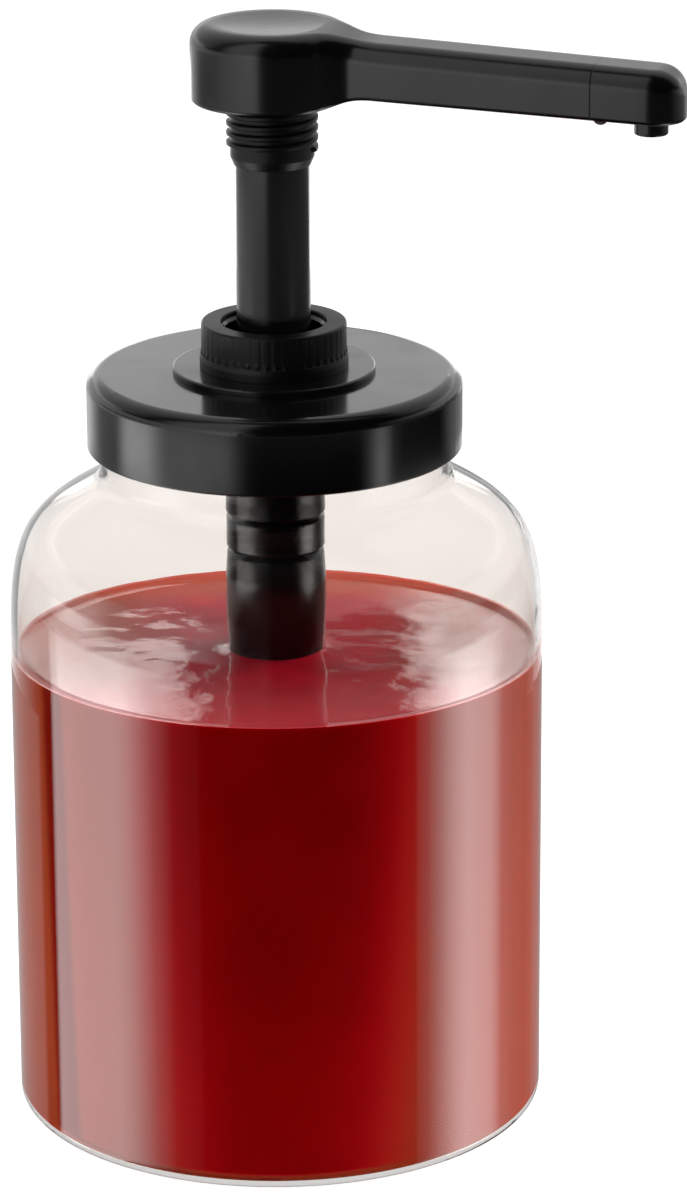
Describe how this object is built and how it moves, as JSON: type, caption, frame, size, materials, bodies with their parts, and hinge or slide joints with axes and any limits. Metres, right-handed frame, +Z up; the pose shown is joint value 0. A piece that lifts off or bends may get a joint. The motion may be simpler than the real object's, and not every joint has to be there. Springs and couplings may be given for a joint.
{
  "type": "syrup dispenser",
  "caption": "Clear wide-mouth jar of syrup with a screw lid and a lock-down pump: pressing the round head lifts syrup up the stem and out of the long swivelling spout.",
  "frame": {"origin": "centre of the jar's base, on the surface it stands on", "axes": "+Z up along the pump and the jar, +X along the spout, +Y to the left of the spout seen from the pump's head"},
  "size_m": [0.1579, 0.124, 0.259],
  "materials": {
    "clear_plastic": "clear, glossy",
    "red_syrup": "wet, glossy",
    "black_lid_plastic": "semi-gloss",
    "black_pump_plastic": "satin",
    "white_liner": "soft foam",
    "black_seal": "matte",
    "natural_plastic": "milky, satin",
    "spring_steel": "drawn wire"
  },
  "bodies": {
    "jar": {"jar": "clear_plastic", "syrup_fill": "red_syrup"},
    "lid_and_pump": {"lid": "black_lid_plastic", "lid_liner": "white_liner", "flange_disc": "black_lid_plastic", "body_gasket": "black_seal", "pump_body": "black_pump_plastic", "locking_collar": "black_pump_plastic", "stem_bush": "natural_plastic", "wiper_seal": "black_seal", "coupling_ring": "black_pump_plastic", "pump_cylinder": "black_pump_plastic", "inlet_cage": "natural_plastic", "return_spring": "spring_steel", "dip_tube": "natural_plastic"},
    "plunger": {"piston": "natural_plastic", "piston_seal": "black_seal"},
    "head_and_stem": {"head": "black_pump_plastic", "lock_sleeve": "black_pump_plastic", "stem": "black_pump_plastic", "outlet_cage": "natural_plastic", "spout_tip": "black_pump_plastic"},
    "inlet_ball": {"inlet_ball": "spring_steel"},
    "outlet_ball": {"outlet_ball": "spring_steel"}
  },
  "joints": [
    {"name": "lid_lift", "type": "slide", "parent": "jar", "child": "lid_and_pump", "axis": [0, 0, 1], "range_m": [0, 0.175]},
    {"name": "pump_stroke", "type": "slide", "parent": "lid_and_pump", "child": "plunger", "axis": [0, 0, -1], "range_m": [0, 0.041], "stiffness_N_per_m": 150, "springref_m": -0.025, "deforming": ["return_spring"]},
    {"name": "spout_swivel", "type": "hinge", "parent": "plunger", "child": "head_and_stem", "pos_m": [0, 0, 0.1276], "axis": [0, 0, 1], "continuous": true},
    {"name": "inlet_ball_lift", "type": "slide", "parent": "lid_and_pump", "child": "inlet_ball", "axis": [0, 0, 1], "range_m": [0, 0.002]},
    {"name": "outlet_ball_lift", "type": "slide", "parent": "head_and_stem", "child": "outlet_ball", "axis": [0, 0, 1], "range_m": [0, 0.002]}
  ]
}
